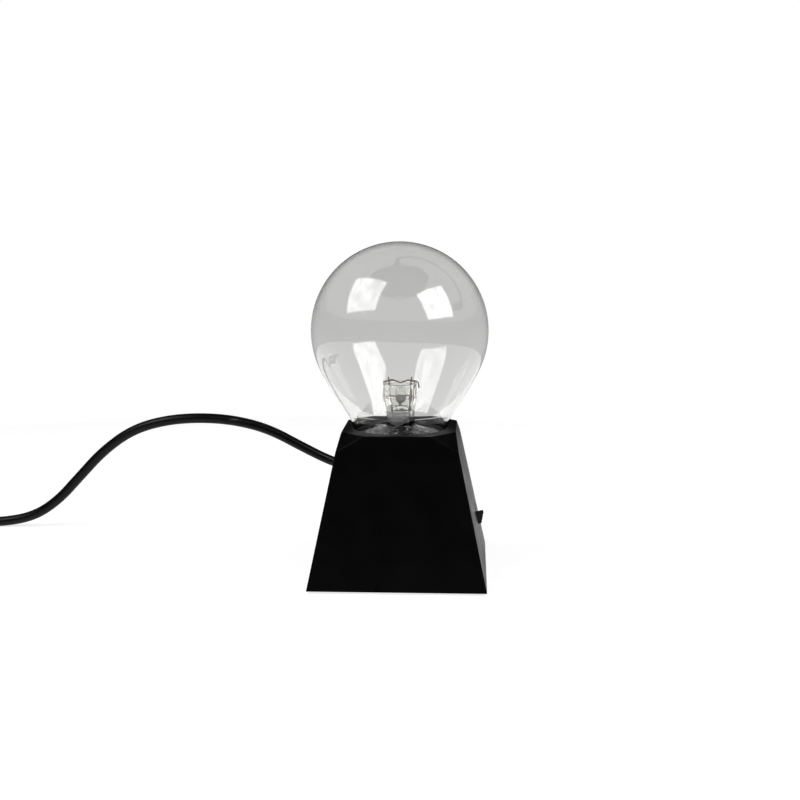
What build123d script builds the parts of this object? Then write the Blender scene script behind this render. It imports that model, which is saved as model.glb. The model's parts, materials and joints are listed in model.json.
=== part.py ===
from build123d import *
import os
from math import atan, cos, degrees, pi, radians, sin, tan

# A small USB plasma ball: a gas-filled glass globe on a black plastic base shaped like a
# truncated pyramid. Millimetres, +Z up. The surface it stands on is z = 0, the globe's axis is
# the Z axis, the front is -Y, the slide switch is on the +X wall, and the lead leaves the +Y wall.

os.makedirs("parts", exist_ok=True)

# ---------------------------------------------------------------- driving dimensions
# base
foot_height = 1.6
shell_bottom = 1.0
base_width = 75.0
base_top_width = 48.6
base_height = 63.0
wall = 2.0
corner_cut_down = 6.4
corner_cut_along = 10.5
edge_round = 0.5

# globe
globe_radius = 38.0
globe_centre = 105.4
glass_wall = 0.9
cone_start_angle = 28.1
cone_end = (23.4, 70.6)
cone_end_angle = 34.0
neck_radius = 20.0
neck_end = 59.5
neck_hole_radius = 20.8

# stem and electrode
stem_tube_radius = 5.6
sleeve_radius = 7.4
sleeve_wall = 1.3
sleeve_low = 77.0
sleeve_high = 83.0
wire_radius = 0.32
post_spread = 4.6
post_top = 85.5

# circuit board
board_half_x = 21.0
board_half_y = 21.0
board_bottom = 47.0
board_thickness = 1.6
board_screw_spread = 18.0

# slide switch on the +X wall
switch_y = 15.5
switch_z = 21.0
slot_height = 10.0
slot_width = 3.8
knob_height = 5.2
knob_width = 3.0
knob_travel = 4.0

# power lead
cord_diameter = 4.8
cord_exit_z = 14.0
relief_length = 13.0
coil_centre = (-238.0, 28.0)
coil_outer_turn = 29.8
coil_lift = 0.7

# ---------------------------------------------------------------- derived dimensions
base_top = shell_bottom + base_height
wall_slope = (base_width - base_top_width) / 2 / base_height
wall_tilt = atan(wall_slope)
board_top = board_bottom + board_thickness
cover_bottom = foot_height
cover_thickness = 2.0
cover_top = cover_bottom + cover_thickness
cord_radius = cord_diameter / 2


def wall_half(z):
    """Half the base's outer width at height z."""
    return base_width / 2 - wall_slope * (z - shell_bottom)


def corner_plane(quarter, inset):
    """The slanted facet that cuts a top corner, moved inwards by inset."""
    cut_z = base_top - corner_cut_down
    low = wall_half(cut_z)
    middle = wall_half(base_top) - corner_cut_along / 2
    rise = 2 * (low - middle) / corner_cut_down
    normal = Vector(1, 1, rise).normalized()
    corner = Vector(low, low, cut_z) - normal * inset
    return Plane(
        origin=corner.rotate(Axis.Z, 90 * quarter),
        z_dir=normal.rotate(Axis.Z, 90 * quarter),
    )


def pyramid_block(inset, low, high):
    """The base's outer form between two heights, with every side moved inwards by inset."""
    with BuildPart() as block:
        for z in (low, high):
            side = 2 * (wall_half(z) - inset)
            with BuildSketch(Plane.XY.offset(z)):
                Rectangle(side, side)
        loft()
        for quarter in range(4):
            split(bisect_by=corner_plane(quarter, inset), keep=Keep.BOTTOM)
    return block.part


def bend_radii(points):
    """The largest even bend at each inner point: 0.45 of its shorter run over tan(half turn)."""
    route = [Vector(*point) for point in points]
    radii = []
    for before, here, after in zip(route, route[1:], route[2:]):
        arriving = here - before
        leaving = after - here
        half_turn = radians(arriving.get_angle(leaving)) / 2
        radii.append(0.45 * min(arriving.length, leaving.length) / tan(half_turn))
    return radii


def route_tube(points, radius):
    """A round tube along straight runs joined by tangent arcs."""
    with BuildPart() as tube:
        with BuildLine() as path:
            FilletPolyline(*points, radius=bend_radii(points))
        with BuildSketch(Plane(origin=path.line @ 0, z_dir=path.line % 0)):
            Circle(radius)
        sweep()
    return tube.part


def wall_plane(y, z):
    """A plane on the +X wall's outer face: x along +Y, y up the slope, z outwards."""
    return Plane(
        origin=(wall_half(z), y, z),
        x_dir=(0, 1, 0),
        z_dir=(cos(wall_tilt), 0, sin(wall_tilt)),
    )


# ================================================================ base casing

# Moulded shell: slanted walls, cut corners, screw bosses and the opening for the globe's neck.
boss_radius = 3.0
boss_x = 16.0
boss_y = 29.0
boss_top = 24.0
boss_pilot = 1.35
boss_pilot_depth = 9.0
board_pilot = 1.05
board_pilot_depth = 6.0
switch_pilot = 0.85
switch_pilot_depth = 2.3
slot_corner = 0.5
through = 1.5
rib_thickness = 1.6
board_boss_radius = 2.6
relief_hole_radius = 3.7
switch_plane = wall_plane(switch_y, switch_z)
switch_post_spread = 8.8
switch_post_radius = 1.9
switch_ear_depth = 3.7
cover_boss_spots = [(x, y) for x in (-boss_x, boss_x) for y in (-boss_y, boss_y)]
board_boss_spots = [
    (x, y)
    for x in (-board_screw_spread, board_screw_spread)
    for y in (-board_screw_spread, board_screw_spread)
]
back_plane = Plane(
    origin=(0, wall_half(cord_exit_z), cord_exit_z),
    x_dir=(-1, 0, 0),
    z_dir=(0, cos(wall_tilt), sin(wall_tilt)),
)

with BuildPart() as shell_insides:
    with BuildSketch(Plane.XY.offset(cover_top)):
        with Locations(*cover_boss_spots):
            Circle(boss_radius)
        for side in (-1, 1):
            with Locations((-boss_x, side * (boss_y + boss_radius)), (boss_x, side * (boss_y + boss_radius))):
                Rectangle(rib_thickness, 2 * boss_radius)
    extrude(amount=boss_top - cover_top)
    with BuildSketch(Plane.XY.offset(board_top)):
        with Locations(*board_boss_spots):
            Circle(board_boss_radius)
    extrude(amount=base_top - board_top)
    with BuildSketch(switch_plane.offset(-wall / 2)):
        with Locations((0, -switch_post_spread), (0, switch_post_spread)):
            Circle(switch_post_radius)
    extrude(amount=-(switch_ear_depth - wall / 2))
    add(pyramid_block(wall / 2, shell_bottom, base_top), mode=Mode.INTERSECT)

with BuildPart() as base_shell:
    add(pyramid_block(0, shell_bottom, base_top))
    rim = base_shell.faces().sort_by(Axis.Z)[0].edges()
    fillet(base_shell.edges() - rim, edge_round)
    add(pyramid_block(wall, shell_bottom, base_top - wall), mode=Mode.SUBTRACT)
    add(shell_insides.part)
    with BuildSketch(Plane.XY.offset(base_top)):
        Circle(neck_hole_radius)
    extrude(amount=-wall * 2, mode=Mode.SUBTRACT)
    with BuildSketch(Plane.XY.offset(cover_top)):
        with Locations(*cover_boss_spots):
            Circle(boss_pilot)
    extrude(amount=boss_pilot_depth, mode=Mode.SUBTRACT)
    with BuildSketch(Plane.XY.offset(board_top)):
        with Locations(*board_boss_spots):
            Circle(board_pilot)
    extrude(amount=board_pilot_depth, mode=Mode.SUBTRACT)
    with BuildSketch(switch_plane.offset(-switch_ear_depth)):
        with Locations((0, -switch_post_spread), (0, switch_post_spread)):
            Circle(switch_pilot)
    extrude(amount=switch_pilot_depth, mode=Mode.SUBTRACT)
    with BuildSketch(switch_plane.offset(1)):
        RectangleRounded(slot_width, slot_height, slot_corner)
    extrude(amount=-(wall + through), mode=Mode.SUBTRACT)
    with BuildSketch(back_plane.offset(1)):
        Circle(relief_hole_radius)
    extrude(amount=-(wall + through), mode=Mode.SUBTRACT)
base_shell.part.label = "base_shell"
export_step(base_shell.part, "parts/base_shell.step")

# Flat cover that closes the underside, held by four screws.
cover_gap = 0.25
cover_half = wall_half(cover_top) - wall - cover_gap
cover_screw_hole = 1.6
vent_length = 7.0
vent_width = 1.6
vent_pitch = (9.0, 6.0)
cover_rib = 1.2
cover_rib_height = 2.0
cover_rib_inset = (4.0, 9.0)
head_radius = 2.4
head_height = 1.1
with BuildPart() as bottom_cover:
    with BuildSketch(Plane.XY.offset(cover_bottom)):
        RectangleRounded(2 * cover_half, 2 * cover_half, 1.0)
    extrude(amount=cover_thickness)
    with BuildSketch(Plane.XY.offset(cover_bottom)):
        with Locations(*cover_boss_spots):
            Circle(head_radius + 0.2)
    extrude(amount=head_height, mode=Mode.SUBTRACT)
    with BuildSketch(Plane.XY.offset(cover_bottom)):
        with Locations(*cover_boss_spots):
            Circle(cover_screw_hole)
    extrude(amount=cover_thickness, mode=Mode.SUBTRACT)
    with BuildSketch(Plane.XY.offset(cover_bottom)):
        with GridLocations(*vent_pitch, 3, 3):
            SlotOverall(vent_length, vent_width)
    extrude(amount=cover_thickness, mode=Mode.SUBTRACT)
    with BuildSketch(Plane.XY.offset(cover_top)):
        rib_x, rib_y = (2 * (cover_half - inset) for inset in cover_rib_inset)
        Rectangle(rib_x, rib_y)
        Rectangle(rib_x - 2 * cover_rib, rib_y - 2 * cover_rib, mode=Mode.SUBTRACT)
    extrude(amount=cover_rib_height)
bottom_cover.part.label = "bottom_cover"
export_step(bottom_cover.part, "parts/bottom_cover.step")


def pan_screw(shank_radius, shank_length, head_r, head_h, cross):
    """A cross-recess screw: head from z = 0 upwards, shank above it with a blunt point."""
    with BuildPart() as screw:
        with BuildSketch(Plane.XZ):
            with BuildLine():
                Polyline(
                    (0, 0),
                    (head_r * 0.7, 0),
                    (head_r, head_h * 0.45),
                    (head_r, head_h),
                    (shank_radius, head_h),
                    (shank_radius, head_h + shank_length - shank_radius),
                    (0.3, head_h + shank_length),
                    (0, head_h + shank_length),
                    close=True,
                )
            make_face()
        revolve(axis=Axis.Z)
        with BuildSketch():
            Rectangle(2 * cross, 0.35 * cross)
            Rectangle(0.35 * cross, 2 * cross)
        extrude(amount=head_h * 0.6, mode=Mode.SUBTRACT)
    return screw.part


cover_screw = pan_screw(1.3, 8.5, head_radius, head_height, 1.4)
with BuildPart() as cover_screws:
    with Locations(*[(x, y, cover_bottom) for x, y in cover_boss_spots]):
        add(cover_screw)
cover_screws.part.label = "cover_screws"
export_step(cover_screws.part, "parts/cover_screws.step")

foot_spread = 26.5
foot_radius = 4.5
with BuildPart() as rubber_feet:
    with BuildSketch():
        with GridLocations(2 * foot_spread, 2 * (foot_spread - 9.5), 2, 2):
            Circle(foot_radius)
    extrude(amount=foot_height)
    fillet(rubber_feet.edges().group_by(Axis.Z)[0], 0.4)
rubber_feet.part.label = "rubber_feet"
export_step(rubber_feet.part, "parts/rubber_feet.step")

# ================================================================ globe and its seat


def globe_outline(inset):
    """The globe's profile moved inwards: sphere, cone and a flared neck down to its rim."""
    slope = radians(cone_end_angle)
    corner = (cone_end[0] - inset * cos(slope), cone_end[1] + inset * sin(slope))
    ball = CenterArc((0, globe_centre), globe_radius - inset, 90, -(90 + cone_start_angle))
    cone = TangentArc(ball @ 1, corner, tangent=ball % 1)
    neck = TangentArc(cone @ 1, (neck_radius - inset, neck_end), tangent=cone % 1)
    base_line = Line(neck @ 1, (0, neck_end))
    Line(base_line @ 1, ball @ 0)


with BuildPart() as glass_globe:
    with BuildSketch(Plane.XZ):
        with BuildLine():
            globe_outline(0)
        make_face()
        with BuildLine():
            globe_outline(glass_wall)
        make_face(mode=Mode.SUBTRACT)
    revolve(axis=Axis.Z)
glass_globe.part.label = "glass_globe"
export_step(glass_globe.part, "parts/glass_globe.step")

# Re-entrant glass stem: its foot seals the neck's rim and rises as a low cone to the
# tube. Its funnel carries the electrode, and a flat press inside holds the wires.
stem_wall = 1.2
foot_middle = neck_radius - glass_wall - stem_wall / 2
foot_shoulder = 60.7
foot_top = 64.4
tube_top = 71.4
press_low = 69.2
press_high = 73.2
press_thickness = (3.4, 2.4)
with BuildPart() as glass_stem:
    with BuildSketch(Plane.XZ):
        with BuildLine() as stem_path:
            FilletPolyline(
                (foot_middle, neck_end),
                (foot_middle, foot_shoulder),
                (stem_tube_radius, foot_top),
                (stem_tube_radius, tube_top),
                (sleeve_radius - sleeve_wall / 2, sleeve_low + 0.5),
                radius=[0.7, 1.4, 1.4],
            )
        trace(stem_path.line, line_width=stem_wall)
    revolve(axis=Axis.Z)
    with BuildSketch(Plane.XY.offset(press_low)):
        Rectangle(2 * stem_tube_radius, press_thickness[0])
    with BuildSketch(Plane.XY.offset(press_high)):
        Rectangle(2 * stem_tube_radius + 0.4, press_thickness[1])
    loft()
    split(bisect_by=Plane.XY.offset(sleeve_low), keep=Keep.BOTTOM)
glass_stem.part.label = "glass_stem"
export_step(glass_stem.part, "parts/glass_stem.step")

# Thin exhaust tube, sealed off at its lower end, that the gas was filled through.
exhaust_radius = 1.9
with BuildPart() as exhaust_tube:
    with BuildSketch(Plane.XZ):
        with BuildLine():
            Polyline((0, 52.0), (0, 52.9), (1.2, 54.6), (1.2, press_low), (exhaust_radius, press_low))
            Polyline((exhaust_radius, press_low), (exhaust_radius, 54.4), (0.6, 52.2), (0, 52.0))
        make_face()
    revolve(axis=Axis.Z)
exhaust_tube.part.label = "exhaust_tube"
export_step(exhaust_tube.part, "parts/exhaust_tube.step")

# Open glass sleeve round the electrode, standing on the stem's funnel.
with BuildPart() as electrode_sleeve:
    with BuildSketch(Plane.XY.offset(sleeve_low)):
        Circle(sleeve_radius)
        Circle(sleeve_radius - sleeve_wall, mode=Mode.SUBTRACT)
    extrude(amount=sleeve_high - sleeve_low)
    fillet(electrode_sleeve.edges().group_by(Axis.Z)[-1], 0.4)
electrode_sleeve.part.label = "electrode_sleeve"
export_step(electrode_sleeve.part, "parts/electrode_sleeve.step")

# Two lead wires from under the stem, spreading with the funnel to two upright posts.
lead_low = 56.0
lead_in = 3.3


def lead_wire_route(side):
    return [
        (side * lead_in, 0, lead_low),
        (side * lead_in, 0, press_low),
        (side * (post_spread - 0.1), 0, 76.2),
        (side * (post_spread + 0.1), 0, 83.2),
        (side * (post_spread + 0.5), 0, post_top),
    ]


with BuildPart() as lead_wires:
    for side in (-1, 1):
        add(route_tube(lead_wire_route(side), wire_radius))
lead_wires.part.label = "lead_wires"
export_step(lead_wires.part, "parts/lead_wires.step")

# Bent cross wires: the upper one over the sleeve's rim, the lower one across the posts.
cross_gap = 2 * wire_radius
upper_route = [
    (-7.3, -cross_gap, 83.5),
    (-5.4, -cross_gap, 84.0),
    (-3.3, -cross_gap, 84.4),
    (-1.5, -cross_gap, 83.8),
    (0.2, -cross_gap, 83.2),
    (1.7, -cross_gap, 83.6),
    (3.3, -cross_gap, 84.3),
    (5.0, -cross_gap, 84.0),
    (6.7, -cross_gap, 83.9),
    (8.0, -cross_gap, 83.1),
    (8.1, -cross_gap, 81.2),
]
with BuildPart() as upper_cross_wire:
    add(route_tube(upper_route, wire_radius))
upper_cross_wire.part.label = "upper_cross_wire"
export_step(upper_cross_wire.part, "parts/upper_cross_wire.step")

cup_radius = 2.2
cup_top = 77.6
lower_spans = [
    [(-5.6, -cross_gap, 77.3), (-4.6, -cross_gap, 77.9), (-3.4, -cross_gap, 77.7), (-2.3, -0.4, 77.2)],
    [(5.6, -cross_gap, 77.6), (4.6, -cross_gap, 77.3), (3.4, -cross_gap, 78.0), (2.3, -0.4, 77.3)],
]
with BuildPart() as lower_cross_wire:
    for span in lower_spans:
        add(route_tube(span, wire_radius))
lower_cross_wire.part.label = "lower_cross_wire"
export_step(lower_cross_wire.part, "parts/lower_cross_wire.step")

# Dark metal cup on a short rod out of the press, and the small glass dome over it.
cup_wall = 0.35
cup_side = 1.2
cup_rod = 0.5
with BuildPart() as electrode_cup:
    with BuildSketch(Plane.XZ):
        with BuildLine():
            bowl_z = cup_top - cup_side
            side_line = Line((cup_radius, cup_top), (cup_radius, bowl_z))
            bowl = CenterArc((0, bowl_z), cup_radius, 0, -90)
            Line(bowl @ 1, (0, bowl_z - cup_radius + cup_wall))
            inside = CenterArc((0, bowl_z), cup_radius - cup_wall, -90, 90)
            inner_line = Line(inside @ 1, (cup_radius - cup_wall, cup_top))
            Line(inner_line @ 1, side_line @ 0)
        make_face()
    revolve(axis=Axis.Z)
    with BuildSketch(Plane.XY.offset(press_high)):
        Circle(cup_rod)
    extrude(amount=bowl_z - cup_radius + cup_wall / 2 - press_high)
electrode_cup.part.label = "electrode_cup"
export_step(electrode_cup.part, "parts/electrode_cup.step")

dome_wall = 0.4
dome_height = 2.0
with BuildPart() as electrode_dome:
    with BuildSketch(Plane.XZ):
        with BuildLine():
            outer_side = Line((cup_radius, cup_top), (cup_radius, cup_top + dome_height))
            outer_cap = CenterArc((0, cup_top + dome_height), cup_radius, 0, 90)
            Line(outer_cap @ 1, (0, cup_top + dome_height + cup_radius - dome_wall))
            inner_cap = CenterArc((0, cup_top + dome_height), cup_radius - dome_wall, 90, -90)
            inner_side = Line(inner_cap @ 1, (cup_radius - dome_wall, cup_top))
            Line(inner_side @ 1, outer_side @ 0)
        make_face()
    revolve(axis=Axis.Z)
electrode_dome.part.label = "electrode_dome"
export_step(electrode_dome.part, "parts/electrode_dome.step")

# Seat ring under the base's top plate: the neck's rim stands on its lip.
seat_outer = 22.3
seat_inner = 20.9
seat_lip = 17.4
seat_low = 57.4
with BuildPart() as neck_seat:
    with BuildSketch(Plane.XY.offset(seat_low)):
        Circle(seat_outer)
        Circle(seat_lip, mode=Mode.SUBTRACT)
    extrude(amount=base_top - wall - seat_low)
    with BuildSketch(Plane.XY.offset(neck_end)):
        Circle(seat_inner)
    extrude(amount=base_top - wall - neck_end, mode=Mode.SUBTRACT)
    add(pyramid_block(wall + 0.05, shell_bottom, base_top - wall), mode=Mode.INTERSECT)
neck_seat.part.label = "neck_seat"
export_step(neck_seat.part, "parts/neck_seat.step")

# Bead of silicone between the neck and the seat.
bead_top = 61.8
with BuildPart() as silicone_bead:
    with BuildSketch(Plane.XY.offset(neck_end)):
        Circle(seat_inner)
        Circle(neck_radius + 0.25, mode=Mode.SUBTRACT)
    extrude(amount=bead_top - neck_end)
silicone_bead.part.label = "silicone_bead"
export_step(silicone_bead.part, "parts/silicone_bead.step")

# ================================================================ circuit board and its parts

board_screw_hole = 1.3
board_corner = 1.5
with BuildPart() as circuit_board:
    with BuildSketch(Plane.XY.offset(board_bottom)):
        RectangleRounded(2 * board_half_x, 2 * board_half_y, board_corner)
        with Locations(*board_boss_spots):
            Circle(board_screw_hole, mode=Mode.SUBTRACT)
    extrude(amount=board_thickness)
circuit_board.part.label = "circuit_board"
export_step(circuit_board.part, "parts/circuit_board.step")

board_screw_head = 1.0
board_screw = pan_screw(1.0, 5.5, 2.0, board_screw_head, 1.1)
with BuildPart() as board_screws:
    with Locations(*[(x, y, board_bottom - board_screw_head) for x, y in board_boss_spots]):
        add(board_screw)
board_screws.part.label = "board_screws"
export_step(board_screws.part, "parts/board_screws.step")

# Flyback transformer: a ferrite frame round a bobbin with two windings.
core_x = -9.3
core_y = 4.0
core_width = 9.6
core_depth = 4.6
core_low = board_top + 0.8
core_high = 60.4
core_leg = 1.5
core_yoke = 2.2
centre_leg = 2.4
window_low = core_low + core_yoke
window_high = core_high - core_yoke
transformer_plane = Plane(origin=(core_x, core_y, 0))
with BuildPart() as transformer_core:
    with BuildSketch(Plane(origin=(core_x, core_y - core_depth / 2, 0), x_dir=(1, 0, 0), z_dir=(0, -1, 0))):
        with Locations((0, (core_low + core_high) / 2)):
            Rectangle(core_width, core_high - core_low)
        with Locations((0, (window_low + window_high) / 2)):
            Rectangle(core_width - 2 * core_leg, window_high - window_low, mode=Mode.SUBTRACT)
            Rectangle(centre_leg, window_high - window_low)
    extrude(amount=-core_depth)
    fillet(transformer_core.edges().filter_by(Axis.Y).group_by(Axis.Z)[-1], 0.4)
transformer_core.part.label = "transformer_core"
export_step(transformer_core.part, "parts/transformer_core.step")

bobbin_gap = 0.1
bobbin_wall = 0.5
flange_x = core_width - 2 * core_leg - 2 * bobbin_gap
flange_y = 9.4
flange_thickness = 0.7
barrel = centre_leg + 2 * bobbin_gap + 2 * bobbin_wall
barrel_y = core_depth + 2 * bobbin_gap + 2 * bobbin_wall
bobbin_low = window_low + bobbin_gap
bobbin_high = window_high - bobbin_gap
section_split = 56.4
with BuildPart() as transformer_bobbin:
    with BuildSketch(transformer_plane.offset(bobbin_low)):
        Rectangle(barrel, barrel_y)
    extrude(amount=bobbin_high - bobbin_low)
    for flange_z in (bobbin_low, section_split, bobbin_high - flange_thickness):
        with BuildSketch(transformer_plane.offset(flange_z)):
            RectangleRounded(flange_x, flange_y, 0.5)
        extrude(amount=flange_thickness)
    with BuildSketch(transformer_plane.offset(bobbin_low)):
        Rectangle(centre_leg + 2 * bobbin_gap, core_depth + 2 * bobbin_gap)
    extrude(amount=bobbin_high - bobbin_low, mode=Mode.SUBTRACT)
transformer_bobbin.part.label = "transformer_bobbin"
export_step(transformer_bobbin.part, "parts/transformer_bobbin.step")

with BuildPart() as secondary_winding:
    with BuildSketch(transformer_plane.offset(bobbin_low + flange_thickness)):
        RectangleRounded(flange_x - 0.4, flange_y - 0.6, 1.2)
        Rectangle(barrel, barrel_y, mode=Mode.SUBTRACT)
    extrude(amount=section_split - bobbin_low - flange_thickness)
secondary_winding.part.label = "secondary_winding"
export_step(secondary_winding.part, "parts/secondary_winding.step")

with BuildPart() as primary_winding:
    with BuildSketch(transformer_plane.offset(section_split + flange_thickness)):
        RectangleRounded(flange_x - 0.8, flange_y - 1.2, 1.0)
        Rectangle(barrel, barrel_y, mode=Mode.SUBTRACT)
    extrude(amount=bobbin_high - 2 * flange_thickness - section_split)
primary_winding.part.label = "primary_winding"
export_step(primary_winding.part, "parts/primary_winding.step")

# Four pins that carry the transformer on the board.
with BuildPart() as transformer_pins:
    with BuildSketch(transformer_plane.offset(board_top)):
        with GridLocations(7.0, 3.0, 2, 2):
            Circle(0.4)
    extrude(amount=core_low - board_top)
transformer_pins.part.label = "transformer_pins"
export_step(transformer_pins.part, "parts/transformer_pins.step")

# Film capacitor, tall and narrow, beside the transformer.
film_spot = (-15.4, -1.2)
film_size = (2.2, 4.4)
film_top = 59.9
film_round = 0.5
with BuildPart() as film_capacitor:
    with BuildSketch(Plane(origin=(*film_spot, board_top))):
        RectangleRounded(*film_size, film_round + 0.1)
    extrude(amount=film_top - board_top)
    fillet(film_capacitor.faces().sort_by(Axis.Z)[-1].edges(), film_round)
film_capacitor.part.label = "film_capacitor"
export_step(film_capacitor.part, "parts/film_capacitor.step")

# Two electrolytic capacitors: a tall one and a short one.
can_sizes = [((10.6, 5.6), 3.6, 11.6), ((8.4, -7.4), 2.9, 10.5)]
with BuildPart() as electrolytic_capacitors:
    for spot, radius, height in can_sizes:
        with BuildSketch(Plane(origin=(spot[0], spot[1], board_top))):
            Circle(radius)
        extrude(amount=height)
    fillet(electrolytic_capacitors.edges().filter_by(GeomType.CIRCLE), 0.5)
electrolytic_capacitors.part.label = "electrolytic_capacitors"
export_step(electrolytic_capacitors.part, "parts/electrolytic_capacitors.step")

# Power transistor held to a finned heat sink at the board's front edge.
sink_width = 24.0
sink_back = -16.6
sink_thickness = 1.4
fin_depth = 2.4
sink_top = 56.6
hole_z = 54.6
with BuildPart() as heat_sink:
    with BuildSketch(Plane.XY.offset(board_top)):
        with Locations((0, sink_back - sink_thickness / 2)):
            Rectangle(sink_width, sink_thickness)
        with Locations((0, sink_back - sink_thickness - fin_depth / 2)):
            with GridLocations(4.4, 1.0, 6, 1):
                Rectangle(1.0, fin_depth)
    extrude(amount=sink_top - board_top)
    with BuildSketch(Plane(origin=(0, sink_back, hole_z), x_dir=(1, 0, 0), z_dir=(0, -1, 0))):
        Circle(1.0)
    extrude(amount=sink_thickness, mode=Mode.SUBTRACT)
heat_sink.part.label = "heat_sink"
export_step(heat_sink.part, "parts/heat_sink.step")

transistor_thickness = 2.7
transistor_face = (0, sink_back + transistor_thickness, hole_z)
with BuildPart() as power_transistor:
    with BuildSketch(Plane(origin=(0, sink_back, 0), x_dir=(1, 0, 0), z_dir=(0, -1, 0))):
        with Locations((0, 53.4)):
            RectangleRounded(7.8, 6.2, 0.4)
        with Locations((0, hole_z)):
            Circle(1.1, mode=Mode.SUBTRACT)
    extrude(amount=-transistor_thickness)
    with BuildSketch(Plane(origin=(0, sink_back + 1.3, board_top))):
        with GridLocations(2.3, 1.0, 3, 1):
            Rectangle(0.7, 0.5)
    extrude(amount=2.0)
power_transistor.part.label = "power_transistor"
export_step(power_transistor.part, "parts/power_transistor.step")

with BuildPart() as transistor_screw:
    with BuildSketch(Plane(origin=transistor_face, x_dir=(1, 0, 0), z_dir=(0, 1, 0))):
        Circle(1.9)
    extrude(amount=1.0)
    with BuildSketch(Plane(origin=transistor_face, x_dir=(1, 0, 0), z_dir=(0, -1, 0))):
        Circle(0.9)
    extrude(amount=transistor_thickness + sink_thickness)
transistor_screw.part.label = "transistor_screw"
export_step(transistor_screw.part, "parts/transistor_screw.step")

# Axial resistors lying on the board, with their bent leads.
resistor_spots = [(-13.0, -9.0, 90), (-9.6, -11.0, 90), (-2.0, -10.5, 90), (10.0, -1.2, 0), (4.0, 11.6, 0)]
resistor_lift = 1.5
resistor_length = 5.2
resistor_span = 3.5
with BuildPart() as resistor:
    with BuildLine():
        FilletPolyline(
            (-resistor_span, 0, 0),
            (-resistor_span, 0, resistor_lift),
            (resistor_span, 0, resistor_lift),
            (resistor_span, 0, 0),
            radius=0.5,
        )
    with BuildSketch():
        with Locations((-resistor_span, 0)):
            Circle(0.25)
    sweep()
    with BuildSketch(Plane.YZ.offset(-resistor_length / 2)):
        with Locations((0, resistor_lift)):
            Circle(1.0)
    extrude(amount=resistor_length)
with BuildPart() as resistors:
    with Locations(*[Location((x, y, board_top), (0, 0, turn)) for x, y, turn in resistor_spots]):
        add(resistor.part)
resistors.part.label = "resistors"
export_step(resistors.part, "parts/resistors.step")

# Eight-pin driver chip.
with BuildPart() as driver_chip:
    with BuildSketch(Plane(origin=(-3.0, 17.0, board_top + 0.6))):
        Rectangle(9.4, 5.0)
    extrude(amount=3.0)
    fillet(driver_chip.edges().filter_by(Axis.Z), 0.3)
    with BuildSketch(Plane(origin=(-3.0, 17.0, board_top))):
        with GridLocations(2.54, 5.6, 4, 2):
            Rectangle(1.0, 0.6)
    extrude(amount=2.0)
driver_chip.part.label = "driver_chip"
export_step(driver_chip.part, "parts/driver_chip.step")

# High-voltage lead from the board to the left lead wire under the stem.
high_voltage_radius = 0.8
high_voltage_route = [
    (-5.6, -8.6, board_top),
    (-5.6, -8.6, 51.6),
    (-5.4, -7.2, 54.0),
    (-4.4, -4.4, 53.8),
    (-3.4, -1.6, 52.6),
    (-lead_in, 0.0, 53.8),
    (-lead_in, 0.0, lead_low),
]
with BuildPart() as high_voltage_lead:
    add(route_tube(high_voltage_route, high_voltage_radius))
high_voltage_lead.part.label = "high_voltage_lead"
export_step(high_voltage_lead.part, "parts/high_voltage_lead.step")

# ================================================================ slide switch

inner_face = wall * cos(wall_tilt)
shoe_low = inner_face + 1.3
knob_rest = -slot_height / 2 + 0.3 + knob_height / 2
knob_low_proud = 1.4
knob_high_proud = 3.4
knob_ridges = 4
knob_ridge_depth = 0.3


def knob_profile():
    """The knob's wedge seen from the side, with finger ridges on its slanted face."""
    low = knob_rest - knob_height / 2
    rise = knob_height / knob_ridges
    slope = (knob_high_proud - knob_low_proud) / knob_ridges
    points = [(0, low)]
    for step in range(knob_ridges):
        proud = knob_low_proud + slope * (step + 0.5)
        points += [
            (-(proud - knob_ridge_depth), low + rise * (step + 0.1)),
            (-proud, low + rise * (step + 0.45)),
            (-proud, low + rise * (step + 0.8)),
        ]
    return points + [(-(knob_high_proud - knob_ridge_depth), low + knob_height), (0, low + knob_height)]


with BuildPart() as switch_knob:
    with BuildSketch(switch_plane.offset(-shoe_low)):
        with Locations((0, knob_rest)):
            Rectangle(knob_width, knob_height)
    extrude(amount=shoe_low)
    with BuildSketch(Plane(switch_plane.location * Location((-knob_width / 2, 0, 0), (0, 90, 0)))):
        with BuildLine():
            Polyline(*knob_profile(), close=True)
        make_face()
    extrude(amount=knob_width)
    with BuildSketch(switch_plane.offset(-shoe_low)):
        with Locations((0, knob_rest)):
            Rectangle(5.0, knob_height + 2.0)
    extrude(amount=0.8)
    with BuildSketch(switch_plane.offset(-shoe_low)):
        with Locations((0, knob_rest)):
            Rectangle(1.6, 3.0)
    extrude(amount=-2.2)
switch_knob.part.label = "switch_knob"
export_step(switch_knob.part, "parts/switch_knob.step")

ear_thickness = 0.5
body_depth = 5.2
body_low = switch_ear_depth + ear_thickness + body_depth
with BuildPart() as switch_body:
    with BuildSketch(switch_plane.offset(-switch_ear_depth)):
        SlotOverall(2 * switch_post_spread + 4.4, 4.4, rotation=90)
        Rectangle(6.4, 12.6)
    extrude(amount=-ear_thickness)
    with BuildSketch(switch_plane.offset(-switch_ear_depth)):
        Rectangle(6.4, 12.6)
    extrude(amount=-(body_low - switch_ear_depth))
    with BuildSketch(switch_plane.offset(-switch_ear_depth)):
        Rectangle(2.2, 9.4)
    extrude(amount=-2.6, mode=Mode.SUBTRACT)
    with BuildSketch(switch_plane.offset(-switch_ear_depth)):
        with Locations((0, -switch_post_spread), (0, switch_post_spread)):
            Circle(0.95)
    extrude(amount=-ear_thickness, mode=Mode.SUBTRACT)
switch_body.part.label = "switch_body"
export_step(switch_body.part, "parts/switch_body.step")

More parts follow.
